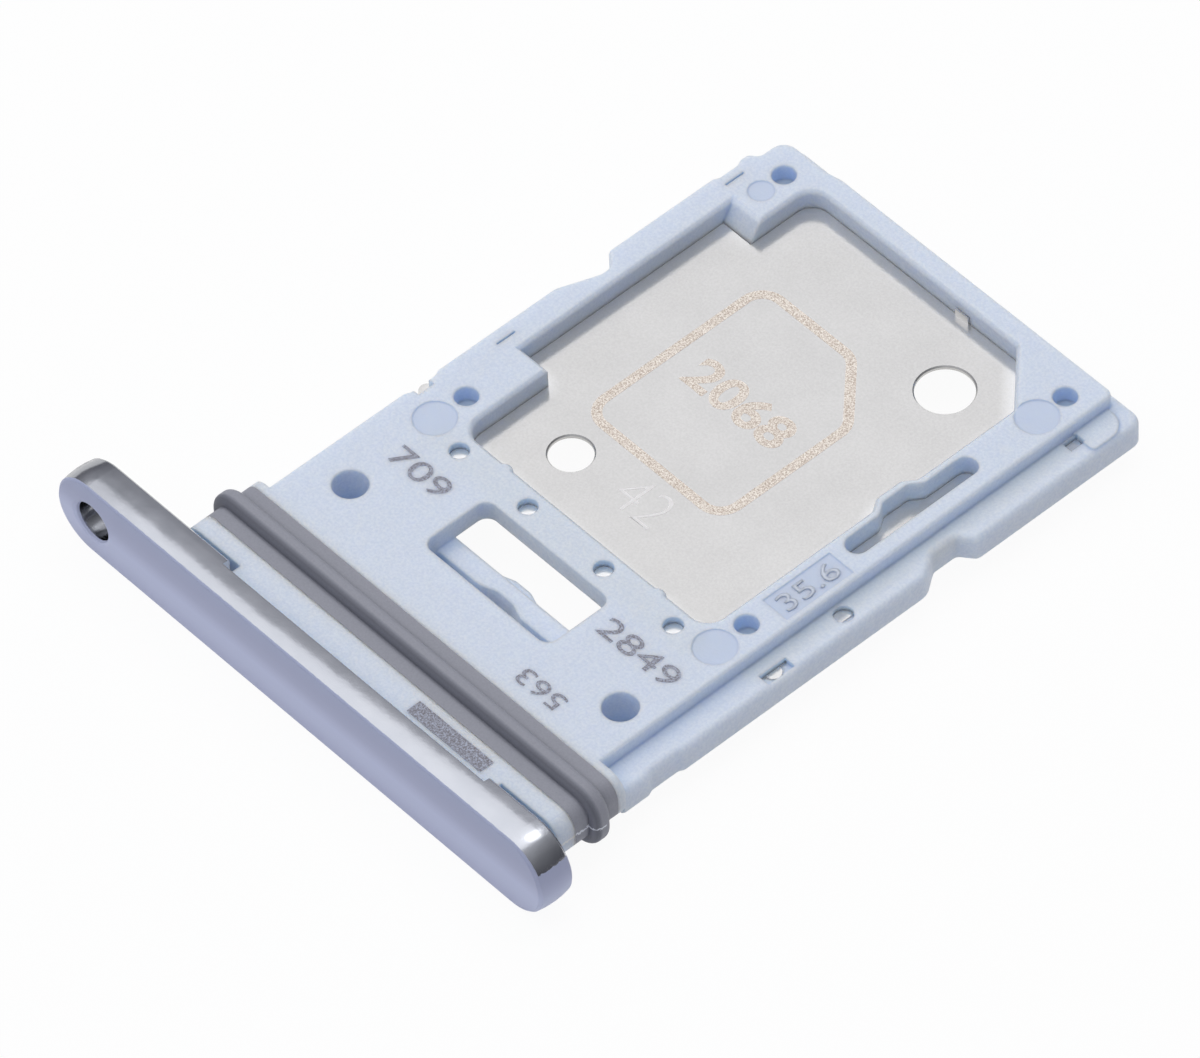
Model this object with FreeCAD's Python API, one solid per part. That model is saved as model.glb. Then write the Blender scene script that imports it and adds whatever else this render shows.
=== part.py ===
import FreeCAD, Part
import math
import os

# SIM card tray of a phone, in millimetres, lying flat with its SIM pocket up: X runs along the cap,
# Y from the cap into the phone, Z up. Everything is drawn from a datum at the rear face of the collar
# (Y = 0), at mid-thickness (Z = 0) and midway between the neck's two bores (X = 0), and is moved at the
# end so that the origin lies under the middle of the whole tray.

# Thickness: SIM pocket above, steel floor, longer card's pocket below
card_depth = 0.67
plate_thickness = 0.12
lower_pocket_depth = 0.67

# SIM pocket in the deck
pocket_width = 9.65
pocket_length = 12.70
pocket_offset = 0.075
pocket_radius = 0.60
corner_cut = 1.60
deck_length = 5.10

# Walls and edges of the frame
left_wall = 2.05
right_wall = 1.45
far_wall = 0.98
ledge_width = 0.92
ledge_drop = 0.50
deck_edge_radius = 0.10
body_edge_radius = 0.22
underside_bevel = 0.15
outer_radius = 0.45
side_radius = 0.25
mould_radius = 0.15
pocket_rim_bevel = 0.11
deck_setback = 0.27

# Lead-in at the far left corner
lead_step = 0.28
lead_length = 1.48
lead_ramp = 0.20
corner_setback = 0.11
corner_setback_length = 1.64
corner_setback_ramp = 0.54

# Finger relief between the two blocks at the pocket's left side
relief_width = 1.10
relief_start = 3.05
relief_from_far = 1.90
relief_slope = 0.40

# Crush ribs on the pocket's near wall
rib_radius = 0.28
rib_height = 0.10
rib_inset = 1.80

# Card spring: the thin web between the pocket and a slot
spring_web = 0.26
spring_slot_width = 0.70
spring_slot_start = 4.50
spring_slot_length = 4.62
spring_bulge = 0.27
spring_bulge_start = 5.95
spring_bulge_length = 1.65
spring_bulge_ramp = 0.38
spring_bulge_radius = 0.22

# Underside pocket for the longer card, its spring arm, and the window over the arm. The two pockets share
# the far wall, which leaves 15.02 between it and the arm.
lower_pocket_width = 11.10
lower_pocket_radius = 0.50
arm_setback = 2.13
arm_width = 0.65
arm_gap = 0.50
arm_gap_radius = 0.12
arm_bulge = 0.20
arm_bulge_length = 1.70
arm_bulge_flat = 0.60
arm_bulge_radius = 0.35
window_width = 4.95
window_reach = 1.15
window_radius = 0.35
window_step = 0.25

# Detent notches in both side edges, and a shallow relief beside the neck
left_detent_start = 10.25
left_detent_length = 1.95
left_detent_ramp = 1.25
left_detent_depth = 0.47
right_detent_start = 10.80
right_detent_length = 1.84
right_detent_ramp = 0.65
right_detent_depth = 0.46
detent_exit = 0.36
detent_radius = 0.25
detent_ramp_radius = 0.60
guide_relief_depth = 0.08
guide_relief_start = 0.85
guide_relief_length = 1.25
guide_relief_ramp = 0.15
edge_relief_depth = 0.09
edge_relief_ramp = 0.20
notch_relief_start = 4.80
notch_relief_length = 1.25
slit_relief_before_lead = 0.27
slit_relief_length = 1.05

# Locating bores, ejector marks and the bare label panel
pin_bore = 0.70
pin_bore_depth = 0.55
pin_inset_near = 0.84
pin_inset_far = 0.32
pin_margin_left = 0.79
pin_margin_right = 0.64
neck_bore = 1.03
neck_bore_depth = 1.20
neck_bore_y = 1.63
neck_bore_spacing = 10.70
ejector_mark = 1.24
ejector_mark_near = 0.29
ejector_mark_far = 1.36
ejector_mark_small = 0.76
ejector_mark_small_far = 1.16
mark_depth = 0.03
label_length = 2.40
label_start = 1.70
label_inner_margin = 0.32
label_outer_margin = 0.18

# Openings through which the steel floor shows
sight_hole = 0.58
sight_hole_inner = 1.50
sight_hole_outer = 4.23
sight_hole_inset = 0.58
ledge_hole_start = 3.20
ledge_hole_inset = 0.07
ledge_slot_width = 0.35
ledge_slot_length = 0.50
ledge_slot_far = 0.75
ledge_slot_inset = 0.05
tab_window_length = 0.95
tab_window_inner = 0.03
tab_window_outer = 0.34
carrier_notch_inset = 0.04
carrier_notch_start = 5.05
carrier_notch_length = 0.57
slit_width = 0.06
slit_length = 0.66
slit_lead = 0.38
slit_far = 1.70
slit_inset = 0.03

# Pad on the far end of the ledge
pad_height = 0.06
pad_length = 1.28
pad_far = 0.52
pad_edge = 0.12
pad_radius = 0.60

# Neck with its collar and the groove of the seal
collar_depth = 0.27
collar_step_left = 0.60
collar_step_right = 0.05
neck_end_radius = 0.55
band_width = 1.50
neck_land = 0.60
groove_depth = 0.30

# Lip of the seal
lip_width = 0.56
lip_height = 0.30
lip_from_collar = 1.02
lip_fullness = 0.70

# Cap and the bonded tongue that carries it
cap_gap = 0.35
cap_depth = 1.15
cap_height = 2.65
cap_crown = 0.05
cap_face_crown = 0.06
cap_face_bevel = 0.03
cap_rear_bevel = 0.06
cap_overhang_left = 3.66
cap_overhang_right = 1.03
cap_relief = 0.24
tongue_inset = 2.18
tongue_depth = 0.55
bond_gap = 0.03
eject_bore = 1.20
eject_bore_inset = 1.46
eject_mouth = 0.16

# Stamped steel floor
plate_edge_left = 0.37
plate_edge_right = 0.47
plate_far_edge = 0.63
plate_corner_radius = 0.30
flange_cover = 0.25
flange_length = 0.75
flange_ramp = 0.15
flange_start = 0.10
flange_half_length = 5.20
drain_hole_large = 1.67
drain_hole_small = 1.27
drain_hole_x = 2.63
drain_hole_near = 1.88
drain_hole_far = 2.08
drain_hole_roll = 0.04
carrier_tab_width = 0.50
carrier_tab_y = 5.70
carrier_reach_left = 0.70
carrier_reach_right = 0.25
end_tab_width = 0.50
end_tab_height = 0.26
end_tab_x = 1.12
detent_cover = 0.15

# Length by which a cutter passes the face that it opens
clear = 1.0

# Places worked out from the sizes above
thickness = card_depth + plate_thickness + lower_pocket_depth
deck_top = thickness / 2
deck_bottom = -thickness / 2
plate_top = deck_top - card_depth
plate_bottom = plate_top - plate_thickness
ledge_top = deck_top - ledge_drop
pocket_left = pocket_offset - pocket_width / 2
pocket_right = pocket_offset + pocket_width / 2
pocket_near = deck_length
pocket_far = pocket_near + pocket_length
arm_near = arm_setback
lower_near = arm_near + arm_width
lower_far = pocket_far
frame_left = pocket_left - left_wall
frame_far = pocket_far + far_wall
deck_right = pocket_right + right_wall
deck_far = frame_far - deck_setback
frame_right = deck_right + ledge_width
corner_left = frame_left + lead_step
neck_left = frame_left - collar_step_left
neck_right = frame_right + collar_step_right
band_rear = -collar_depth
band_front = band_rear - band_width
neck_front = band_front - neck_land
window_left = -window_width / 2
window_right = window_width / 2
window_near = arm_near - arm_gap
window_far = lower_near + window_reach
lower_left = -lower_pocket_width / 2
lower_right = lower_pocket_width / 2
pin_left = pocket_left - pin_margin_left
pin_right = pocket_right + pin_margin_right
cap_rear = neck_front - cap_gap
cap_front = cap_rear - cap_depth
cap_left = neck_left - cap_overhang_left
cap_right = neck_right + cap_overhang_right
cap_middle = (cap_left + cap_right) / 2
cap_radius = cap_height / 2
tongue_left = neck_left + tongue_inset
tongue_right = neck_right - tongue_inset
tongue_tip = cap_rear - tongue_depth
plate_left = frame_left + plate_edge_left
plate_right = frame_right - plate_edge_right
plate_far = frame_far - plate_far_edge
flange_top = deck_top - flange_cover
flange_near = pocket_near - flange_start - flange_ramp - flange_length


def vec(x, y, z=0.0):
    return FreeCAD.Vector(x, y, z)


def box(x0, x1, y0, y1, z0, z1):
    return Part.makeBox(x1 - x0, y1 - y0, z1 - z0, vec(x0, y0, z0))


def rod(x, y, z0, z1, diameter):
    """Upright cylinder on the axis (x, y)."""
    return Part.makeCylinder(diameter / 2, z1 - z0, vec(x, y, z0))


def rounded_wire(corners):
    """Closed wire through corners (x, y, radius), each rounded with its own radius."""
    rounds = []
    for i, (x, y, radius) in enumerate(corners):
        here = vec(x, y)
        before = vec(*corners[i - 1][:2]) - here
        after = vec(*corners[(i + 1) % len(corners)][:2]) - here
        before.normalize()
        after.normalize()
        half = before.getAngle(after) / 2
        reach = radius / math.tan(half)
        bisector = before + after
        if radius and bisector.Length > 1e-9:
            bisector.normalize()
            middle = here + bisector * (radius / math.sin(half) - radius)
            rounds.append((here + before * reach, middle, here + after * reach))
        else:
            rounds.append((here, None, here))
    edges = []
    for i, (start, middle, end) in enumerate(rounds):
        if middle:
            edges.append(Part.Arc(start, middle, end).toShape())
        following = rounds[(i + 1) % len(rounds)][0]
        if (following - end).Length > 1e-7:
            edges.append(Part.LineSegment(end, following).toShape())
    return Part.Wire(edges)


def prism(corners, z0, z1):
    """Upright solid on a rounded outline."""
    face = Part.Face(rounded_wire(corners))
    face.translate(vec(0, 0, z0))
    return face.extrude(vec(0, 0, z1 - z0))


def neck_bar(grow, y0, y1):
    """Bar with the neck's round-cornered section, grown all round, from y0 to y1."""
    left = neck_left - grow
    right = neck_right + grow
    half = thickness / 2 + grow
    radius = neck_end_radius + grow
    corners = [(left, -half, radius), (right, -half, radius), (right, half, radius), (left, half, radius)]
    face = Part.Face(rounded_wire(corners))
    face.rotate(vec(0, 0, 0), vec(1, 0, 0), 90)
    face.translate(vec(0, y0, 0))
    return face.extrude(vec(0, y1 - y0, 0))


def rim(shape, z):
    """Level edges of a blank at height z, behind the collar's plane."""
    found = []
    for edge in shape.Edges:
        bounds = edge.BoundBox
        if abs(bounds.ZMin - z) + abs(bounds.ZMax - z) < 1e-6 and bounds.YMax > 1e-6:
            found.append(edge)
    return found


def edge_relief(start, length):
    """Corners of a shallow relief in the left edge."""
    depth = frame_left + edge_relief_depth
    return [
        (frame_left, start, side_radius),
        (depth, start + edge_relief_ramp, side_radius),
        (depth, start + length - edge_relief_ramp, side_radius),
        (frame_left, start + length, side_radius),
    ]


def left_side():
    """Left edge from the collar back: a relief, the long-ramped detent, a relief, the lead-in's step."""
    notch = frame_left + left_detent_depth
    end = left_detent_start + left_detent_length
    lead = frame_far - lead_length
    return [
        (frame_left, 0, 0),
        *edge_relief(notch_relief_start, notch_relief_length),
        (frame_left, left_detent_start, detent_ramp_radius),
        (notch, left_detent_start + left_detent_ramp, detent_radius),
        (notch, end - detent_exit, side_radius),
        (frame_left, end, side_radius),
        *edge_relief(lead - slit_relief_before_lead - slit_relief_length, slit_relief_length),
        (frame_left, lead, side_radius),
        (corner_left, lead + lead_ramp, side_radius),
    ]


def right_side():
    """Right edge from the far corner forward: the detent, then the shallow guide relief."""
    notch = frame_right - right_detent_depth
    end = right_detent_start + right_detent_length
    relief = frame_right - guide_relief_depth
    relief_far = guide_relief_start + guide_relief_length
    return [
        (frame_right, end, detent_radius),
        (notch, end - detent_exit, detent_radius),
        (notch, right_detent_start + right_detent_ramp, detent_radius),
        (frame_right, right_detent_start, detent_ramp_radius),
        (frame_right, relief_far, side_radius),
        (relief, relief_far - guide_relief_ramp, side_radius),
        (relief, guide_relief_start + guide_relief_ramp, side_radius),
        (frame_right, guide_relief_start, side_radius),
        (frame_right, 0, 0),
    ]


def frame_blank():
    """Lower body with the guide ledge, and the deck on it, set back at the right and far sides."""
    far = [
        (corner_left, frame_far, outer_radius),
        (frame_right, frame_far, outer_radius),
    ]
    lower = prism(left_side() + far + right_side(), deck_bottom, ledge_top)
    lower = lower.makeFillet(body_edge_radius, rim(lower, ledge_top))
    lower = lower.makeChamfer(underside_bevel, rim(lower, deck_bottom))
    setback_far = deck_far - corner_setback
    setback_right = corner_left + corner_setback_length
    deck_edge = [
        (corner_left, setback_far, outer_radius),
        (setback_right, setback_far, outer_radius),
        (setback_right + corner_setback_ramp, deck_far, outer_radius),
        (deck_right, deck_far, side_radius),
        (deck_right, 0, 0),
    ]
    deck = prism(left_side() + deck_edge, ledge_top - body_edge_radius, deck_top)
    deck = deck.makeFillet(deck_edge_radius, rim(deck, deck_top))
    return lower.fuse(deck)


def ledge_pad():
    """Quarter-round pad that stands just proud of the ledge at its far end."""
    far = frame_far - pad_far
    near = far - pad_length
    right = frame_right - pad_edge
    corners = [
        (deck_right - pad_edge, near, 0),
        (right, near, mould_radius),
        (right, far, pad_radius),
        (deck_right - pad_edge, far, 0),
    ]
    return prism(corners, ledge_top - body_edge_radius, ledge_top + pad_height)


def finger_relief():
    """Recess between the two blocks, its far end face sloping in towards the floor."""
    left = pocket_left - relief_width
    near = pocket_near + relief_start
    far = pocket_far - relief_from_far
    top = plate_top + card_depth + clear
    spread = relief_slope * clear / card_depth
    profile = Part.makePolygon([
        vec(left, near, plate_top),
        vec(left, far - relief_slope, plate_top),
        vec(left, far + spread, top),
        vec(left, near, top),
        vec(left, near, plate_top),
    ])
    return Part.Face(profile).extrude(vec(relief_width + pocket_radius, 0, 0))


def bulge_corners(x, start):
    """Corners where a side of the card spring, at x, swells towards the pocket."""
    end = start + spring_bulge_length
    crest = x - spring_bulge
    return [
        (x, start, spring_bulge_radius),
        (crest, start + spring_bulge_ramp, spring_bulge_radius),
        (crest, end - spring_bulge_ramp, spring_bulge_radius),
        (x, end, spring_bulge_radius),
    ]


def upper_pocket():
    """Cutter of the SIM pocket: the cut corner, the spring's bulge, the ribs and the finger relief."""
    corners = [
        (pocket_left, pocket_near, pocket_radius),
        (pocket_right, pocket_near, pocket_radius),
        *bulge_corners(pocket_right, pocket_near + spring_bulge_start),
        (pocket_right, pocket_far - corner_cut, mould_radius),
        (pocket_right - corner_cut, pocket_far, mould_radius),
        (pocket_left, pocket_far, pocket_radius),
    ]
    cutter = prism(corners, plate_top, deck_top + clear)
    for x in (pocket_left + rib_inset, pocket_right - rib_inset):
        y = pocket_near + rib_height - rib_radius
        cutter = cutter.cut(rod(x, y, plate_top, deck_top + clear, 2 * rib_radius))
    return cutter.fuse(finger_relief())


def pocket_rim(shape):
    """Edges where the pocket opens in the deck."""
    margin = pocket_rim_bevel / 2
    found = []
    for edge in shape.Edges:
        bounds = edge.BoundBox
        level = abs(bounds.ZMin - deck_top) + abs(bounds.ZMax - deck_top) < 1e-6
        across = bounds.XMin > pocket_left - relief_width - margin and bounds.XMax < pocket_right + margin
        along = bounds.YMin > pocket_near - margin and bounds.YMax < pocket_far + margin
        if level and across and along:
            found.append(edge)
    return found


def spring_slot():
    """Slot that frees the card spring, its inner side following the bulge."""
    inner = pocket_right + spring_web
    outer = inner + spring_slot_width
    near = pocket_near + spring_slot_start
    far = near + spring_slot_length
    end_radius = spring_slot_width / 2
    corners = [
        (outer, near, end_radius),
        (outer, far, end_radius),
        (inner, far, end_radius),
        *reversed(bulge_corners(inner, pocket_near + spring_bulge_start)),
        (inner, near, end_radius),
    ]
    return prism(corners, plate_top, deck_top + clear)


def arm_side(y):
    """Corners along a side of the spring arm at y, where its middle swells into the pocket."""
    half = arm_bulge_length / 2
    flat = arm_bulge_flat / 2
    return [
        (-half, y, arm_bulge_radius),
        (-flat, y + arm_bulge, arm_bulge_radius),
        (flat, y + arm_bulge, arm_bulge_radius),
        (half, y, arm_bulge_radius),
    ]


def lower_pocket():
    """Cutter of the underside pocket, and of the gap that frees the arm at its near end."""
    pocket = [
        (lower_left, lower_near, lower_pocket_radius),
        *arm_side(lower_near),
        (lower_right, lower_near, lower_pocket_radius),
        (lower_right, lower_far, lower_pocket_radius),
        (lower_left, lower_far, lower_pocket_radius),
    ]
    gap = [
        (window_left, window_near, arm_gap_radius),
        (window_right, window_near, arm_gap_radius),
        (window_right, arm_near, arm_gap_radius),
        *reversed(arm_side(arm_near)),
        (window_left, arm_near, arm_gap_radius),
    ]
    cutter = prism(pocket, deck_bottom - clear, plate_bottom)
    return cutter.fuse(prism(gap, deck_bottom - clear, plate_top))


def window():
    """Opening in the deck over the spring arm, down to the underside pocket behind the arm."""
    corners = [
        (window_left, window_near, window_radius),
        (window_right, window_near, window_radius),
        (window_right, window_far, window_radius),
        (window_left, window_far, window_radius),
    ]
    behind_arm = box(window_left - window_step, window_right + window_step, lower_near,
                     window_far + window_step, plate_bottom, plate_top)
    return prism(corners, plate_top, deck_top + clear).fuse(behind_arm)


def locating_bores():
    """Blind bores of the locating pins: four round the pocket, two in the neck's deck."""
    cuts = []
    for x in (pin_left, pin_right):
        for y in (pocket_near + pin_inset_near, pocket_far - pin_inset_far):
            cuts.append(rod(x, y, deck_top - pin_bore_depth, deck_top + clear, pin_bore))
    for x in (-neck_bore_spacing / 2, neck_bore_spacing / 2):
        cuts.append(rod(x, neck_bore_y, deck_top - neck_bore_depth, deck_top + clear, neck_bore))
    return cuts


def moulding_marks():
    """Shallow ejector marks beside the bores, and the sunk panel of the label."""
    floor = deck_top - mark_depth
    near = pocket_near - ejector_mark_near
    far = pocket_far - ejector_mark_far
    small_far = pocket_far - ejector_mark_small_far
    label_near = pocket_near + label_start
    return [
        rod(pin_left, near, floor, deck_top + clear, ejector_mark),
        rod(pin_right, near, floor, deck_top + clear, ejector_mark),
        rod(pin_right, far, floor, deck_top + clear, ejector_mark),
        rod(pin_left, small_far, floor, deck_top + clear, ejector_mark_small),
        box(pocket_right + label_inner_margin, deck_right - label_outer_margin,
            label_near, label_near + label_length, floor, deck_top + clear),
    ]


def sight_openings():
    """Openings over the steel: four round in the deck, three in the ledge, three on the left."""
    cuts = []
    y = pocket_near - sight_hole_inset
    for x in (-sight_hole_outer, -sight_hole_inner, sight_hole_inner, sight_hole_outer):
        cuts.append(rod(x, y, flange_top, deck_top + clear, sight_hole))
    ledge_hole_y = pocket_near + ledge_hole_start
    cuts.append(rod(plate_right - ledge_hole_inset, ledge_hole_y, plate_top, deck_top + clear, sight_hole))
    slot_right = plate_right - ledge_slot_inset
    slot_far = pocket_far - ledge_slot_far
    cuts.append(box(slot_right - ledge_slot_width, slot_right, slot_far - ledge_slot_length, slot_far,
                    plate_top, deck_top + clear))
    half = tab_window_length / 2
    cuts.append(box(plate_right - tab_window_inner, plate_right + tab_window_outer,
                    carrier_tab_y - half, carrier_tab_y + half, plate_top, deck_top + clear))
    cuts.append(box(frame_left - clear, plate_left - carrier_notch_inset, carrier_notch_start,
                    carrier_notch_start + carrier_notch_length, plate_top, deck_top + clear))
    slit_left = plate_left + slit_inset
    for y in (pocket_near + relief_start - slit_lead, pocket_far - slit_far):
        cuts.append(box(slit_left, slit_left + slit_width, y, y + slit_length, plate_top, deck_top + clear))
    return cuts


def neck():
    """Round-cornered neck with its collar, the seal's groove and the tongue that enters the cap."""
    groove = neck_bar(clear, band_front, band_rear).cut(neck_bar(-groove_depth, band_front, band_rear))
    tongue = box(tongue_left, tongue_right, tongue_tip, neck_front, deck_bottom, deck_top)
    return neck_bar(0, neck_front, 0).cut(groove).fuse(tongue)


def tray_frame():
    """The moulded frame, cut for the cards, the steel floor and every opening."""
    shape = frame_blank().fuse(neck()).fuse(ledge_pad()).removeSplitter().cut(upper_pocket())
    shape = shape.makeChamfer(pocket_rim_bevel, pocket_rim(shape))
    cutters = [spring_slot(), window(), lower_pocket()]
    for cutter in cutters + locating_bores() + moulding_marks() + sight_openings():
        shape = shape.cut(cutter)
    return shape.cut(floor_blank())


def flange():
    """Near edge of the sheet, stepped up into the deck and held by the moulding."""
    bend = pocket_near - flange_start
    raised = bend - flange_ramp
    rise = flange_top - plate_top
    section = Part.makePolygon([
        vec(0, bend, plate_bottom),
        vec(0, bend, plate_top),
        vec(0, raised, flange_top),
        vec(0, flange_near, flange_top),
        vec(0, flange_near, plate_bottom + rise),
        vec(0, raised, plate_bottom + rise),
        vec(0, bend, plate_bottom),
    ])
    solid = Part.Face(section).extrude(vec(2 * flange_half_length, 0, 0))
    solid.translate(vec(-flange_half_length, 0, 0))
    return solid


def floor_blank():
    """Stamped sheet under the pocket, cut back at the detents, with its flange and three tabs."""
    sheet = prism([
        (plate_left, pocket_near - flange_start, 0),
        (plate_right, pocket_near - flange_start, 0),
        (plate_right, plate_far, plate_corner_radius),
        (plate_left, plate_far, plate_corner_radius),
    ], plate_bottom, plate_top)
    left_notch = frame_left + left_detent_depth + detent_cover
    right_notch = frame_right - right_detent_depth - detent_cover
    sheet = sheet.cut(box(plate_left - clear, left_notch, left_detent_start,
                          left_detent_start + left_detent_length, plate_bottom, plate_top))
    sheet = sheet.cut(box(right_notch, plate_right + clear, right_detent_start,
                          right_detent_start + right_detent_length, plate_bottom, plate_top))
    half = carrier_tab_width / 2
    tabs = [flange()]
    tab_ends = (plate_left - carrier_reach_left + half, plate_right + carrier_reach_right - half)
    for x, root in zip(tab_ends, (plate_left + half, plate_right - half)):
        tabs.append(box(min(x, root), max(x, root), carrier_tab_y - half, carrier_tab_y + half,
                        plate_bottom, plate_top))
        tabs.append(rod(x, carrier_tab_y, plate_bottom, plate_top, carrier_tab_width))
    end_left = pocket_offset + end_tab_x - end_tab_width / 2
    end_near = pocket_far - plate_thickness / 2
    tabs.append(box(end_left, end_left + end_tab_width, end_near, end_near + plate_thickness,
                    plate_top, plate_top + end_tab_height))
    return sheet.multiFuse(tabs).removeSplitter()


def floor_plate():
    """The sheet with its two drain holes, their upper edges rolled by the punch."""
    plate = floor_blank()
    holes = [
        (pocket_offset - drain_hole_x, pocket_near + drain_hole_near, drain_hole_small),
        (pocket_offset + drain_hole_x, pocket_far - drain_hole_far, drain_hole_large),
    ]
    for x, y, diameter in holes:
        radius = diameter / 2
        roll_z = plate_top - drain_hole_roll
        plate = plate.cut(rod(x, y, plate_bottom - clear, plate_top + clear, diameter))
        plate = plate.cut(Part.makeCone(radius, radius + drain_hole_roll, drain_hole_roll, vec(x, y, roll_z)))
    return plate


def seal():
    """Rubber seal in the neck's groove: a flush band with a rounded lip round its middle."""
    middle = -lip_from_collar
    lip = neck_bar(lip_height, middle - lip_width / 2, middle + lip_width / 2)
    round_off = lip_fullness * min(lip_height, lip_width / 2)
    lip = lip.makeFillet(round_off, [edge for edge in lip.Edges if edge.BoundBox.YLength < 1e-6])
    core = neck_bar(-groove_depth, band_front - clear, band_rear + clear)
    return neck_bar(0, band_front, band_rear).fuse(lip).cut(core)


def cap_half_section(x):
    """Upper half of the cap's section, standing at x: face with its bevel, crowned side and rear face."""
    shoulder = cap_radius - cap_crown
    bevel = cap_face_crown + cap_face_bevel
    side_front = vec(x, cap_front + bevel, shoulder)
    side_rear = vec(x, cap_rear - cap_rear_bevel, shoulder)
    crest = vec(x, (side_front.y + side_rear.y) / 2, cap_radius)
    face_top = vec(x, cap_front, shoulder - bevel)
    rear_top = vec(x, cap_rear, shoulder - cap_rear_bevel)
    face_middle = vec(x, cap_front, 0)
    rear_middle = vec(x, cap_rear, 0)
    return Part.Face(Part.Wire([
        Part.LineSegment(face_middle, face_top).toShape(),
        Part.LineSegment(face_top, side_front).toShape(),
        Part.Arc(side_front, crest, side_rear).toShape(),
        Part.LineSegment(side_rear, rear_top).toShape(),
        Part.LineSegment(rear_top, rear_middle).toShape(),
        Part.LineSegment(rear_middle, face_middle).toShape(),
    ]))


def face_crown():
    """Cylinder along the cap whose front is the slight crown of the painted face."""
    radius = (cap_radius ** 2 + cap_face_crown ** 2) / (2 * cap_face_crown)
    start = vec(cap_left - clear, cap_front + radius, 0)
    return Part.makeCylinder(radius, cap_right - cap_left + 2 * clear, start, vec(1, 0, 0))


def eject_cutter(x):
    """Cutter of the eject bore at x, its mouth broken by two bevels."""
    bore = eject_bore / 2
    mouth = bore + eject_mouth
    middle = eject_mouth * (1 - math.sin(math.pi / 4))
    profile = Part.makePolygon([
        vec(x, cap_front - clear),
        vec(x + mouth, cap_front - clear),
        vec(x + mouth, cap_front),
        vec(x + bore + middle, cap_front + middle),
        vec(x + bore, cap_front + eject_mouth),
        vec(x + bore, cap_rear + clear),
        vec(x, cap_rear + clear),
        vec(x, cap_front - clear),
    ])
    return Part.Face(profile).revolve(vec(x, 0, 0), vec(0, 1, 0), 360)


def cap():
    """Metal cap: a crowned, round-ended bar with the eject bore and a socket for the tongue."""
    left = cap_left + cap_radius
    right = cap_right - cap_radius
    along = vec(right - left, 0, 0)
    upper = cap_half_section(left)
    lower = upper.mirror(vec(0, 0, 0), vec(0, 0, 1))
    axis = vec(0, 1, 0)
    left_end = cap_half_section(left).revolve(vec(left, 0, 0), axis, -180)
    right_end = cap_half_section(right).revolve(vec(right, 0, 0), axis, 180)
    body = upper.extrude(along).multiFuse([lower.extrude(along), left_end, right_end]).removeSplitter()
    body = body.common(face_crown())
    relief = box(tongue_left, tongue_right, cap_rear - cap_relief, cap_rear + clear, -cap_radius, cap_radius)
    socket = box(tongue_left - bond_gap, tongue_right + bond_gap, tongue_tip, cap_rear + clear,
                 deck_bottom - bond_gap, deck_top + bond_gap)
    return body.cut(relief).cut(socket).cut(eject_cutter(cap_left + eject_bore_inset))


def place(shape):
    """Move a finished solid so that the origin lies under the middle of the tray, on its lowest level."""
    shape.translate(vec(-cap_middle, -(cap_front + frame_far) / 2, cap_height / 2))
    return shape


os.makedirs("parts", exist_ok=True)
pieces = {
    "cap": cap(),
    "tray_frame": tray_frame(),
    "floor_plate": floor_plate(),
    "seal": seal(),
}
for name, shape in pieces.items():
    placed = place(shape)
    placed.exportStep("parts/" + name + ".step")
    print(name, len(placed.Solids), placed.isValid(), round(placed.Volume, 4))
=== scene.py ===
import math

import bmesh
import bpy
from mathutils import Matrix, Vector


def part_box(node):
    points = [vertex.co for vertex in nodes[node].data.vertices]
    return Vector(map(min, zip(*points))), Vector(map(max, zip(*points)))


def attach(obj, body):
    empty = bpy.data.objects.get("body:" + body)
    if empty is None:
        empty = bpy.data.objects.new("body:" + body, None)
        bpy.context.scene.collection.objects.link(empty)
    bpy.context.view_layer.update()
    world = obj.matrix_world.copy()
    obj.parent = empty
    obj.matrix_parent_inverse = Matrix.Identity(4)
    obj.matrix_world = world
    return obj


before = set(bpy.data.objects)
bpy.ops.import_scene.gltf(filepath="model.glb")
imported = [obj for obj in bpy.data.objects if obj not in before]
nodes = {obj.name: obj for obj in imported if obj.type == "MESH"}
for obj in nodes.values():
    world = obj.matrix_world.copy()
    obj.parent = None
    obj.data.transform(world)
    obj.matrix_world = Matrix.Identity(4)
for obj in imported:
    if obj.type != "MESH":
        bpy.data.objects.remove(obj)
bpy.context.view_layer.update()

# Steel floor
# A thin stamped sheet of cold-rolled stainless steel, moulded into the frame. Rolling leaves a fine matte grain
# over a bright, slightly wavy sheet, which mirrors the walls as a grainy band. Its colour is painted lighter in
# the holes and at the walls' feet, a painted highlight where the sheet is shut in.

mm = 0.001
haze_share = 0.40


def linear(hex_code):
    """Linear colour of an sRGB hex value."""
    channels = [int(hex_code[i:i + 2], 16) / 255 for i in (0, 2, 4)]
    return tuple(c / 12.92 if c <= 0.04045 else ((c + 0.055) / 1.055) ** 2.4 for c in channels) + (1.0,)


def add(tree, kind, inputs, **settings):
    """A new node with its settings made, and each input linked to a socket or set to a value."""
    made = tree.nodes.new(kind)
    for name, value in settings.items():
        setattr(made, name, value)
    for name, value in inputs.items():
        if isinstance(value, bpy.types.NodeSocket):
            tree.links.new(value, made.inputs[name])
        else:
            made.inputs[name].default_value = value
    return made


def start_material(name):
    """An empty material, its node tree and its Object coordinates."""
    material = bpy.data.materials.new(name)
    material.use_nodes = True
    tree = material.node_tree
    tree.nodes.clear()
    return material, tree, add(tree, "ShaderNodeTexCoord", {}).outputs["Object"]


def grain(tree, coordinates, size_mm, detail=2.0, roughness=0.5):
    """Noise whose features are about size_mm across."""
    values = {"Vector": coordinates, "Scale": 1 / (size_mm * mm), "Detail": detail, "Roughness": roughness}
    return add(tree, "ShaderNodeTexNoise", values).outputs["Fac"]


def finish_material(tree, shader):
    add(tree, "ShaderNodeOutputMaterial", {"Surface": shader.outputs[0]})


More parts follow.
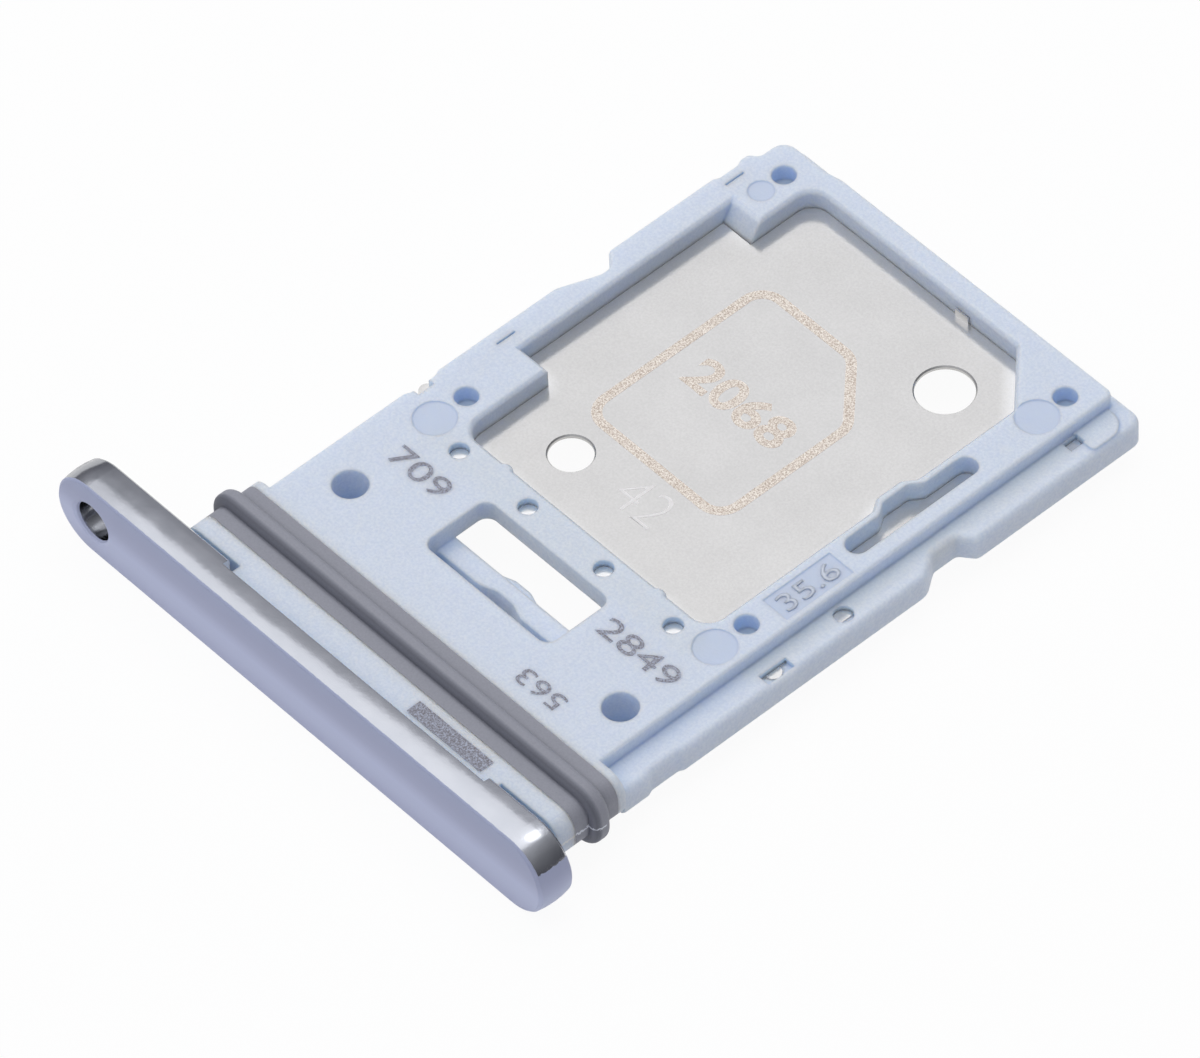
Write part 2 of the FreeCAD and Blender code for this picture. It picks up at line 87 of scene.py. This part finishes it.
def dress(piece, material):
    piece.data.materials.clear()
    piece.data.materials.append(material)


# The real rolled grain is finer, and is drawn 0.07 mm across to show.
steel, tree, place = start_material("cold_rolled_stainless_steel")
waves = grain(tree, place, size_mm=0.45, detail=3.0)
rolled = grain(tree, place, size_mm=0.07, detail=3.0, roughness=0.7)
wavy = add(tree, "ShaderNodeBump", {"Height": waves, "Strength": 0.3, "Distance": 0.002 * mm})
matte = add(tree, "ShaderNodeBump", {"Height": rolled, "Strength": 1.0, "Distance": 0.003 * mm,
                                     "Normal": wavy.outputs["Normal"]})
cloud = grain(tree, place, size_mm=1.6, detail=4.0)
steel_colour = add(tree, "ShaderNodeMix", {"Factor": cloud, "A": linear("C6C5C3"), "B": linear("D2D1CF")},
                   data_type="RGBA")
speckle = add(tree, "ShaderNodeMapRange", {"Value": rolled, "From Min": 0.35, "From Max": 0.65, "To Min": 0.91})
speckled = add(tree, "ShaderNodeMix", {"Factor": 1.0, "A": steel_colour.outputs["Result"],
                                       "B": speckle.outputs["Result"]}, data_type="RGBA", blend_type="MULTIPLY")
# Painted highlight: where ambient occlusion finds the sheet shut in, in holes and at walls' feet, its colour is
# painted lighter, up to white.
occlusion_for_painted_light = add(tree, "ShaderNodeAmbientOcclusion", {"Distance": 0.5 * mm}, samples=6)
sheet_colour_with_painted_highlight = add(tree, "ShaderNodeMix", {"Factor": occlusion_for_painted_light.outputs["AO"], "A": linear("FFFFFF"),
                                           "B": speckled.outputs["Result"]}, data_type="RGBA")
mirror = add(tree, "ShaderNodeBsdfPrincipled", {
    "Base Color": sheet_colour_with_painted_highlight.outputs["Result"],
    "Metallic": 1.0,
    "Roughness": 0.07,
    "Normal": matte.outputs["Normal"],
})
haze = add(tree, "ShaderNodeBsdfPrincipled", {
    "Base Color": sheet_colour_with_painted_highlight.outputs["Result"],
    "Metallic": 1.0,
    "Roughness": 0.55,
    "Normal": matte.outputs["Normal"],
})
shader = add(tree, "ShaderNodeMixShader", {0: haze_share, 1: mirror.outputs[0], 2: haze.outputs[0]})
finish_material(tree, shader)
dress(nodes["floor_plate"], steel)

# Engraved card outline and numeral on the steel
# A laser roughened these lines into the sheet, to show which way the card goes in. The molten metal set as
# fine beads, straw-coloured from the heat, which sparkle. Here they stand 0.004 mm above the sheet.

card_left, card_right = -2.17 * mm, 3.405 * mm
card_near, card_far = 0.68 * mm, 7.405 * mm
card_cut = 1.86 * mm
card_round = 0.80 * mm
card_line = 0.30 * mm
mark_height = 0.004 * mm
plate_top = 1.385 * mm


def select_vertices(piece, wanted):
    """Select the vertices whose places the test accepts, in edit mode."""
    bpy.ops.mesh.select_all(action="DESELECT")
    bpy.ops.mesh.select_mode(type="VERT")
    edited = bmesh.from_edit_mesh(piece.data)
    for vertex in edited.verts:
        vertex.select = wanted(vertex.co)
    edited.select_flush(True)
    bmesh.update_edit_mesh(piece.data)


def start_plane(name, left, right, near, far, height):
    """A level rectangle in edit mode, with its place in its mesh."""
    bpy.ops.object.select_all(action="DESELECT")
    middle = ((left + right) / 2, (near + far) / 2, height)
    bpy.ops.mesh.primitive_plane_add(size=1, location=middle)
    piece = bpy.context.object
    piece.name = name
    piece.scale = (right - left, far - near, 1)
    bpy.ops.object.transform_apply(location=True, rotation=False, scale=True)
    bpy.ops.object.mode_set(mode="EDIT")
    return piece


def raise_mark(piece):
    """Give a flat mark its thickness, and set it on the tray."""
    bpy.ops.mesh.select_all(action="SELECT")
    bpy.ops.mesh.extrude_region_move(TRANSFORM_OT_translate={"value": (0, 0, mark_height)})
    bpy.ops.mesh.select_all(action="SELECT")
    bpy.ops.mesh.normals_make_consistent(inside=False)
    bpy.ops.object.mode_set(mode="OBJECT")
    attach(piece, "root")


engraving, tree, place = start_material("laser_engraved_steel")
beads = grain(tree, place, size_mm=0.04, detail=3.0, roughness=0.65)
tint = add(tree, "ShaderNodeValToRGB", {"Fac": beads})
tint.color_ramp.elements[0].position = 0.38
tint.color_ramp.elements[0].color = linear("BCAA9A")
tint.color_ramp.elements[1].position = 0.60
tint.color_ramp.elements[1].color = linear("FAF3E9")
bumps = add(tree, "ShaderNodeBump", {"Height": beads, "Strength": 0.8, "Distance": 0.015 * mm})
shader = add(tree, "ShaderNodeBsdfPrincipled", {
    "Base Color": tint.outputs["Color"],
    "Metallic": 0.6,
    "Roughness": 0.45,
    "Normal": bumps.outputs["Normal"],
})
finish_material(tree, shader)

outline = start_plane("card_outline", card_left, card_right, card_near, card_far, plate_top)
select_vertices(outline, lambda co: co.x > card_right - card_line and co.y > card_far - card_line)
bpy.ops.mesh.bevel(offset=card_cut, segments=1, affect="VERTICES", clamp_overlap=False)
select_vertices(outline, lambda co: co.x < card_left + card_line or co.y < card_near + card_line)
bpy.ops.mesh.bevel(offset=card_round, segments=10, affect="VERTICES", clamp_overlap=False)
select_vertices(outline, lambda co: co.x + co.y > card_right + card_far - card_cut - card_line)
bpy.ops.mesh.bevel(offset=card_line, segments=4, affect="VERTICES", clamp_overlap=False)
bpy.ops.mesh.select_mode(type="FACE")
bpy.ops.mesh.select_all(action="SELECT")
bpy.ops.mesh.inset(thickness=card_line, use_even_offset=True)
bpy.ops.mesh.delete(type="FACE")
raise_mark(outline)
dress(outline, engraving)


def number_mark(name, digits, length, height, corner, angle, thick=mark_height, thin=0.0):
    """Plain digits of that length and height, level, turned by an angle round their lower left corner."""
    bpy.ops.object.select_all(action="DESELECT")
    bpy.ops.object.text_add(location=(0, 0, 0))
    piece = bpy.context.object
    piece.data.body = digits
    piece.data.offset = -thin
    piece.data.extrude = thick / 2
    bpy.ops.object.convert(target="MESH")
    piece.name = name
    places = [vertex.co for vertex in piece.data.vertices]
    low = Vector((min(co.x for co in places), min(co.y for co in places), 0))
    high = Vector((max(co.x for co in places), max(co.y for co in places), 0))
    size = Matrix.Diagonal((length / (high.x - low.x), height / (high.y - low.y), 1, 1))
    turn = Matrix.Rotation(math.radians(angle), 4, "Z")
    low.z = -thick / 2
    piece.data.transform(Matrix.Translation(corner) @ turn @ size @ Matrix.Translation(-low))
    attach(piece, "root")
    return piece


card_number = number_mark("card_number", "2068", length=3.65 * mm, height=1.2 * mm,
                          corner=(-1.18 * mm, 3.38 * mm, plate_top), angle=0, thin=-0.03)
dress(card_number, engraving)

# The number beside the outline is scratched by a stylus, and the light its burr catches is painted into it as
# fine white lines, a painted highlight.
scribed, tree, place = start_material("scribed_steel")
burr = grain(tree, place, size_mm=0.08, detail=2.0)
ridges = add(tree, "ShaderNodeBump", {"Height": burr, "Strength": 0.6, "Distance": 0.02 * mm})
# Painted highlight: the scratched lines are coloured near-white for the glint of their burr.
painted_glint_white = add(tree, "ShaderNodeMix", {"Factor": burr, "A": linear("E6E1DD"), "B": linear("FFFFFF")},
             data_type="RGBA")
shader = add(tree, "ShaderNodeBsdfPrincipled", {
    "Base Color": painted_glint_white.outputs["Result"],
    "Roughness": 0.4,
    "Normal": ridges.outputs["Normal"],
})
finish_material(tree, shader)
sheet_number = number_mark("sheet_number", "42", length=1.55 * mm, height=1.25 * mm,
                           corner=(0.65 * mm, -0.88 * mm, plate_top), angle=0, thin=0.022)
dress(sheet_number, scribed)

# Moulded frame
# One moulding of light blue glass-filled nylon. The spark-eroded mould leaves a fine grain on its faces, and its
# edges come out slightly rounded and catch the light. Light goes a short way into the plastic, and deep places
# are painted bluer and lighter, a painted tint for the light scattered there. The ejector pins left smooth
# discs, and the label's panel has raised digits.

deck_top = 2.055 * mm
mark_floor = 2.025 * mm
neck_end = 8.55 * mm
mid_height = 1.325 * mm
flash_rear = -8.4 * mm
flash_rags = 0.22 * mm
flash_half_width = 0.035 * mm


def parting_flash(tree, coordinates):
    """Where the two halves of the mould leave a ragged whitish line, at the neck's right end."""
    ends = add(tree, "ShaderNodeSeparateXYZ", {"Vector": coordinates})
    rags = grain(tree, coordinates, size_mm=0.09, detail=3.0)
    height = add(tree, "ShaderNodeMath", {0: rags, 1: flash_rags, 2: ends.outputs["Z"]},
                 operation="MULTIPLY_ADD")
    line = add(tree, "ShaderNodeMath", {0: height.outputs[0], 1: mid_height + flash_rags / 2,
                                        2: flash_half_width}, operation="COMPARE")
    right = add(tree, "ShaderNodeMath", {0: ends.outputs["X"], 1: neck_end}, operation="GREATER_THAN")
    front = add(tree, "ShaderNodeMath", {0: ends.outputs["Y"], 1: flash_rear}, operation="LESS_THAN")
    both = add(tree, "ShaderNodeMath", {0: right.outputs[0], 1: front.outputs[0]}, operation="MULTIPLY")
    return add(tree, "ShaderNodeMath", {0: both.outputs[0], 1: line.outputs[0]}, operation="MULTIPLY").outputs[0]


# The spark-eroded grain is finer in truth, and is drawn 0.085 mm across to show.
nylon, tree, place = start_material("moulded_glass_filled_nylon")
mould_grain = grain(tree, place, size_mm=0.085, detail=3.0, roughness=0.6)
flow = grain(tree, place, size_mm=0.6, detail=2.0)
soft_edges = add(tree, "ShaderNodeBevel", {"Radius": 0.13 * mm}, samples=8)
flowed = add(tree, "ShaderNodeBump", {"Height": flow, "Strength": 0.4, "Distance": 0.01 * mm,
                                      "Normal": soft_edges.outputs["Normal"]})
grained = add(tree, "ShaderNodeBump", {"Height": mould_grain, "Strength": 0.9, "Distance": 0.013 * mm,
                                       "Normal": flowed.outputs["Normal"]})
specks = add(tree, "ShaderNodeMapRange", {"Value": mould_grain, "From Min": 0.35, "From Max": 0.65})
open_colour = add(tree, "ShaderNodeMix", {"Factor": specks.outputs["Result"], "A": linear("D8E1F0"),
                                          "B": linear("E4EBF6")}, data_type="RGBA")
# Painted shade tint: where ambient occlusion finds the nylon shut in, its colour is painted bluer and lighter.
occlusion_for_painted_light = add(tree, "ShaderNodeAmbientOcclusion", {"Distance": 0.6 * mm}, samples=6)
painted_recess_tint = add(tree, "ShaderNodeMix", {"Factor": occlusion_for_painted_light.outputs["AO"], "A": linear("C2DAFC"),
                                          "B": open_colour.outputs["Result"]}, data_type="RGBA")
axes = add(tree, "ShaderNodeSeparateXYZ", {"Vector": place})
pin_mark = add(tree, "ShaderNodeMath", {0: axes.outputs["Z"], 1: mark_floor, 2: 0.002 * mm},
               operation="COMPARE")
nylon_colour = add(tree, "ShaderNodeMix", {"Factor": pin_mark.outputs[0], "A": painted_recess_tint.outputs["Result"],
                                           "B": linear("D2DDEF")}, data_type="RGBA")
flashed = add(tree, "ShaderNodeMix", {"Factor": parting_flash(tree, place), "B": linear("F4F6FA"),
                                      "A": nylon_colour.outputs["Result"]}, data_type="RGBA")
shader = add(tree, "ShaderNodeBsdfPrincipled", {
    "Base Color": flashed.outputs["Result"],
    "Roughness": 0.46,
    "IOR": 1.53,
    "Subsurface Weight": 1.0,
    "Subsurface Radius": (0.8, 0.9, 1.0),
    "Subsurface Scale": 0.35 * mm,
    "Normal": grained.outputs["Normal"],
})
finish_material(tree, shader)
dress(nodes["tray_frame"], nylon)

# The raised digits are too thin for light to travel inside them.
raised = nylon.copy()
raised.name = "raised_nylon"
raised.node_tree.nodes["Principled BSDF"].inputs["Subsurface Weight"].default_value = 0.0
label_number = number_mark("label_number", "35.6", length=1.95 * mm, height=0.62 * mm,
                           corner=(7.36 * mm, -0.42 * mm, mark_floor), angle=90,
                           thick=0.028 * mm)
dress(label_number, raised)

# Laser marks on the plastic
# The laser darkened the nylon to a warm grey, in a fine dotted line. The marks are plain digits and a grey
# bar beside the cap.

deck_numbers = (
    ("deck_number_left", "709", 2.05, 0.69, -4.05, -4.53, 0),
    ("deck_number_right", "2849", 2.80, 0.69, 4.27, -4.55, 0),
    ("deck_number_near", "563", 1.60, 0.57, 5.62, -6.65, 180),
)
bar_left, bar_right = 2.925 * mm, 5.825 * mm
bar_near, bar_far = -9.975 * mm, -9.495 * mm

darkened, tree, place = start_material("laser_darkened_nylon")
dots = grain(tree, place, size_mm=0.05, detail=2.0, roughness=0.7)
grey = add(tree, "ShaderNodeValToRGB", {"Fac": dots})
grey.color_ramp.elements[0].position = 0.40
grey.color_ramp.elements[0].color = linear("7C7980")
grey.color_ramp.elements[1].position = 0.66
grey.color_ramp.elements[1].color = linear("B9C0D2")
shader = add(tree, "ShaderNodeBsdfPrincipled", {"Base Color": grey.outputs["Color"], "Roughness": 0.6})
finish_material(tree, shader)

for name, digits, length, height, left, near, angle in deck_numbers:
    deck_number = number_mark(name, digits, length * mm, height * mm, (left * mm, near * mm, deck_top), angle)
    dress(deck_number, darkened)

bar = start_plane("neck_bar", bar_left, bar_right, bar_near, bar_far, deck_top)
raise_mark(bar)
dress(bar, darkened)

# Seal
# A ring of silicone rubber moulded into the neck's groove, dark grey and matte, with a raised lip that closes
# the gap to the phone's body. Its surface is finely pitted, and painted shade darkens the rubber in a band at
# the lip's front foot, with a faint band at its rear foot.

seal_front, seal_rear = -9.225 * mm, -7.725 * mm
painted_lip_shade = [(-8.84, "FFFFFF"), (-8.76, "D2D3D6"), (-8.69, "B2B4B8"), (-8.62, "C4C6CA"), (-8.52, "FFFFFF"),
              (-8.28, "FFFFFF"), (-8.15, "F0F0F0"), (-8.00, "FFFFFF")]

rubber, tree, place = start_material("silicone_rubber")
pits = grain(tree, place, size_mm=0.06, detail=3.0, roughness=0.7)
pitted = add(tree, "ShaderNodeBump", {"Height": pits, "Strength": 0.5, "Distance": 0.005 * mm})
rubber_colour = add(tree, "ShaderNodeMix", {"Factor": pits, "A": linear("8D8F98"), "B": linear("A4A5AF")},
                    data_type="RGBA")
axes = add(tree, "ShaderNodeSeparateXYZ", {"Vector": place})
along = add(tree, "ShaderNodeMapRange", {"Value": axes.outputs["Y"], "From Min": seal_front,
                                         "From Max": seal_rear})
# Painted shade: the rubber's colour is multiplied darker in bands along Y at the lip's feet.
painted_crease_shade = add(tree, "ShaderNodeValToRGB", {"Fac": along.outputs["Result"]})
painted_crease_shade.color_ramp.elements[0].color = linear("FFFFFF")
for place_along, shade_there in painted_lip_shade:
    painted_crease_shade.color_ramp.elements.new((place_along * mm - seal_front) / (seal_rear - seal_front)).color = linear(
        shade_there)
painted_shade_rubber = add(tree, "ShaderNodeMix", {"Factor": 1.0, "A": rubber_colour.outputs["Result"],
                                    "B": painted_crease_shade.outputs["Color"]}, data_type="RGBA", blend_type="MULTIPLY")
flashed = add(tree, "ShaderNodeMix", {"Factor": parting_flash(tree, place), "B": linear("DDE0E8"),
                                      "A": painted_shade_rubber.outputs["Result"]}, data_type="RGBA")
shader = add(tree, "ShaderNodeBsdfPrincipled", {
    "Base Color": flashed.outputs["Result"],
    "Roughness": 0.55,
    "IOR": 1.43,
    "Normal": pitted.outputs["Normal"],
})
finish_material(tree, shader)
dress(nodes["seal"], rubber)

# Cap
# A cast and machined metal cap. Its face is sprayed with satin lavender paint, which ends raggedly at the front
# edge and wraps the lower right end. The paint's colour holds painted shade, lightest about a third of the way
# up, a little darker at the bottom and darker towards the top edge. Its crowned side is bare bright metal,
# slightly dented and twisted.

cap_low, cap_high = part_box("cap")
paint_depth = 0.125 * mm
end_middle = cap_high.x - cap_high.z / 2
wrap_slope = (-0.53, 0.0, 0.85)
wrap_line = wrap_slope[2] * cap_high.z / 2 + wrap_slope[0] * end_middle
painted_face_shade = [(0.30, "C3CAE6"), (0.45, "C4CBE7"), (0.56, "BBC1DD"), (0.66, "B0B6D2"), (0.78, "ABB1CD")]

finish, tree, place = start_material("painted_zinc_alloy")
axes = add(tree, "ShaderNodeSeparateXYZ", {"Vector": place})
ragged = grain(tree, place, size_mm=0.12, detail=3.0)
edge = add(tree, "ShaderNodeMath", {0: ragged, 1: 0.03 * mm, 2: axes.outputs["Y"]}, operation="MULTIPLY_ADD")
bare_side = add(tree, "ShaderNodeMapRange", {
    "Value": edge.outputs[0],
    "From Min": cap_low.y + paint_depth,
    "From Max": cap_low.y + paint_depth + 0.015 * mm,
})
low_end = add(tree, "ShaderNodeVectorMath", {0: place, 1: wrap_slope}, operation="DOT_PRODUCT")
ragged_end = add(tree, "ShaderNodeMath", {0: ragged, 1: 0.10 * mm, 2: low_end.outputs["Value"]},
                 operation="MULTIPLY_ADD")
bare_end = add(tree, "ShaderNodeMapRange", {
    "Value": ragged_end.outputs[0],
    "From Min": wrap_line + 0.04 * mm,
    "From Max": wrap_line + 0.06 * mm,
})
before_end = add(tree, "ShaderNodeMath", {0: axes.outputs["X"], 1: end_middle}, operation="LESS_THAN")
bare_there = add(tree, "ShaderNodeMath", {0: bare_end.outputs["Result"], 1: before_end.outputs[0]},
                 operation="MAXIMUM")
bare = add(tree, "ShaderNodeMath", {0: bare_side.outputs["Result"], 1: bare_there.outputs[0]},
           operation="MULTIPLY")
tumbled = grain(tree, place, size_mm=0.10, detail=3.0)
blotches = grain(tree, place, size_mm=0.7, detail=3.0)
soft_edges = add(tree, "ShaderNodeBevel", {"Radius": 0.04 * mm}, samples=6)
dented = add(tree, "ShaderNodeBump", {"Height": blotches, "Strength": 0.5, "Distance": 0.02 * mm,
                                      "Normal": soft_edges.outputs["Normal"]})
shine = add(tree, "ShaderNodeBump", {"Height": tumbled, "Strength": 0.4, "Distance": 0.002 * mm,
                                     "Normal": dented.outputs["Normal"]})
twist = add(tree, "ShaderNodeMapRange", {"Value": axes.outputs["X"], "From Min": -2.0 * mm,
                                         "From Max": 8.0 * mm, "To Min": 0.18, "To Max": 0.05})
lean = add(tree, "ShaderNodeCombineXYZ", {"Y": twist.outputs["Result"]})
leaning = add(tree, "ShaderNodeVectorMath", {0: shine.outputs["Normal"], 1: lean.outputs["Vector"]},
              operation="ADD")
cast_normal = add(tree, "ShaderNodeVectorMath", {0: leaning.outputs["Vector"]}, operation="NORMALIZE")
metal_roughness = add(tree, "ShaderNodeMapRange", {"Value": blotches, "To Min": 0.10, "To Max": 0.24})
bright_colour = add(tree, "ShaderNodeMix", {"Factor": blotches, "A": linear("B4B7BE"), "B": linear("C4C6CC")},
                    data_type="RGBA")
# The bare metal's colour is darker towards its left end, in blotches.
from_left = add(tree, "ShaderNodeMath", {0: blotches, 1: 2.0 * mm, 2: axes.outputs["X"]},
                operation="MULTIPLY_ADD")
darker_to_left = add(tree, "ShaderNodeMapRange", {"Value": from_left.outputs[0], "From Min": cap_low.x + 1.0 * mm,
                                        "From Max": cap_low.x + 4.5 * mm, "To Min": 0.62, "To Max": 1.0})
metal_colour = add(tree, "ShaderNodeMix", {"Factor": 1.0, "A": bright_colour.outputs["Result"],
                                           "B": darker_to_left.outputs["Result"]}, data_type="RGBA",
                   blend_type="MULTIPLY")
metal = add(tree, "ShaderNodeBsdfPrincipled", {
    "Base Color": metal_colour.outputs["Result"],
    "Metallic": 1.0,
    "Roughness": metal_roughness.outputs["Result"],
    "Normal": cast_normal.outputs["Vector"],
})
# Painted shade: the paint's colour follows height, darker towards the top edge.
height = add(tree, "ShaderNodeMapRange", {"Value": axes.outputs["Z"], "From Max": cap_high.z})
paint_colour_with_painted_shade = add(tree, "ShaderNodeValToRGB", {"Fac": height.outputs["Result"]})
paint_colour_with_painted_shade.color_ramp.elements[0].color = linear("B6BCDA")
paint_colour_with_painted_shade.color_ramp.elements[1].color = linear("A9B1CD")
for rise_there, colour_there in painted_face_shade:
    paint_colour_with_painted_shade.color_ramp.elements.new(rise_there).color = linear(colour_there)
paint = add(tree, "ShaderNodeBsdfPrincipled", {
    "Base Color": paint_colour_with_painted_shade.outputs["Color"],
    "Roughness": 0.45,
    "IOR": 1.4,
    "Normal": soft_edges.outputs["Normal"],
})
both = add(tree, "ShaderNodeMixShader", {0: bare.outputs[0], 1: paint.outputs[0], 2: metal.outputs[0]})
finish_material(tree, both)
dress(nodes["cap"], finish)

# Floor and light
# The tray lies on a plain white table under large soft lamps, with a darker room at the far right. The table
# shows white to the camera and in the metal, and keeps a faint shadow.

table_size = 1.2
white_share = 0.94
room_brightness = 0.78

table, tree, place = start_material("white_table")
white = add(tree, "ShaderNodeEmission", {"Color": linear("FFFFFF"), "Strength": 1.0})
card = add(tree, "ShaderNodeBsdfDiffuse", {"Color": linear("FAFAFA")})
ray = add(tree, "ShaderNodeLightPath", {})
seen = add(tree, "ShaderNodeMath", {0: ray.outputs["Is Camera Ray"], 1: ray.outputs["Is Glossy Ray"]},
           operation="MAXIMUM")
share = add(tree, "ShaderNodeMath", {0: seen.outputs[0], 1: white_share}, operation="MULTIPLY")
mixed = add(tree, "ShaderNodeMixShader", {0: share.outputs[0], 1: card.outputs[0], 2: white.outputs[0]})
finish_material(tree, mixed)
bpy.ops.object.select_all(action="DESELECT")
bpy.ops.mesh.primitive_plane_add(size=table_size, location=(0, 0, 0))
floor = bpy.context.object
floor.name = "table"
dress(floor, table)

world = bpy.data.worlds.new("studio")
bpy.context.scene.world = world
world.use_nodes = True
tree = world.node_tree
tree.nodes.clear()
direction = add(tree, "ShaderNodeTexCoord", {}).outputs["Generated"]
axes = add(tree, "ShaderNodeSeparateXYZ", {"Vector": direction})
rise = add(tree, "ShaderNodeValToRGB", {"Fac": axes.outputs["Z"]})
rise.color_ramp.elements[0].position = 0.0
rise.color_ramp.elements[0].color = linear("83838D")
rise.color_ramp.elements[1].position = 0.8
rise.color_ramp.elements[1].color = linear("F6F7FC")
dark_side = add(tree, "ShaderNodeVectorMath", {0: direction, 1: (0.84, 0.48, 0.25)}, operation="DOT_PRODUCT")
shade = add(tree, "ShaderNodeMapRange", {"Value": dark_side.outputs["Value"], "From Min": 0.35,
                                         "From Max": 0.95, "To Min": 1.0, "To Max": 0.40})
brightness = add(tree, "ShaderNodeMath", {0: shade.outputs["Result"], 1: room_brightness}, operation="MULTIPLY")
room = add(tree, "ShaderNodeBackground", {"Color": rise.outputs["Color"],
                                          "Strength": brightness.outputs[0]})
white = add(tree, "ShaderNodeBackground", {"Color": linear("FFFFFF"), "Strength": 1.0})
ray = add(tree, "ShaderNodeLightPath", {})
mixed = add(tree, "ShaderNodeMixShader", {0: ray.outputs["Is Camera Ray"], 1: room.outputs[0],
                                          2: white.outputs[0]})
add(tree, "ShaderNodeOutputWorld", {"Surface": mixed.outputs[0]})


def softbox(name, left, right, near, far, height, radiance):
    """A level rectangle of light above the table."""
    light = bpy.data.lights.new(name, "AREA")
    light.shape = "RECTANGLE"
    light.size = right - left
    light.size_y = far - near
    light.energy = radiance * math.pi * light.size * light.size_y
    lamp = bpy.data.objects.new(name, light)
    lamp.location = ((left + right) / 2, (near + far) / 2, height)
    bpy.context.collection.objects.link(lamp)


softbox("large_softbox", left=-0.19, right=0.04, near=-0.15, far=0.13, height=0.16, radiance=0.66)
softbox("small_softbox", left=-0.03, right=0.03, near=0.05, far=0.12, height=0.155, radiance=1.6)

# Camera
# The photograph's view, from a distance and through a long lens, fitted to the tray's edges and bores. One
# bore of the deck is the point that the fit holds to its pixel.

view_azimuth = math.radians(50.05)
view_elevation = math.radians(49.10)
view_roll = math.radians(-2.89)
view_distance = 359 * mm
fixed_bore = Vector((6.855, -1.525, 2.055)) * mm
fixed_pixel = (745.4, 623.5)
image_middle = (600.0, 529.0)
pixels_per_mm = 38.0
lens_pixels = pixels_per_mm * view_distance / mm
sensor_width = 36.0

forward = Vector((-math.sin(view_azimuth) * math.cos(view_elevation),
                  math.cos(view_azimuth) * math.cos(view_elevation), -math.sin(view_elevation)))
level = Vector((math.cos(view_azimuth), math.sin(view_azimuth), 0))
upward = level.cross(forward)
right = math.cos(view_roll) * level + math.sin(view_roll) * upward
up = math.cos(view_roll) * upward - math.sin(view_roll) * level
across = (fixed_pixel[0] - image_middle[0]) / lens_pixels * view_distance
above = (image_middle[1] - fixed_pixel[1]) / lens_pixels * view_distance
camera_data = bpy.data.cameras.new("camera")
camera_data.sensor_width = sensor_width
camera_data.lens = lens_pixels / (2 * image_middle[0]) * sensor_width
camera_data.clip_start = 0.01
camera = bpy.data.objects.new("camera", camera_data)
bpy.context.collection.objects.link(camera)
camera.matrix_world = Matrix.Translation(
    fixed_bore - across * right - above * up - view_distance * forward
) @ Matrix((right, up, -forward)).transposed().to_4x4()
bpy.context.scene.camera = camera
bpy.context.scene.view_settings.view_transform = "Standard"
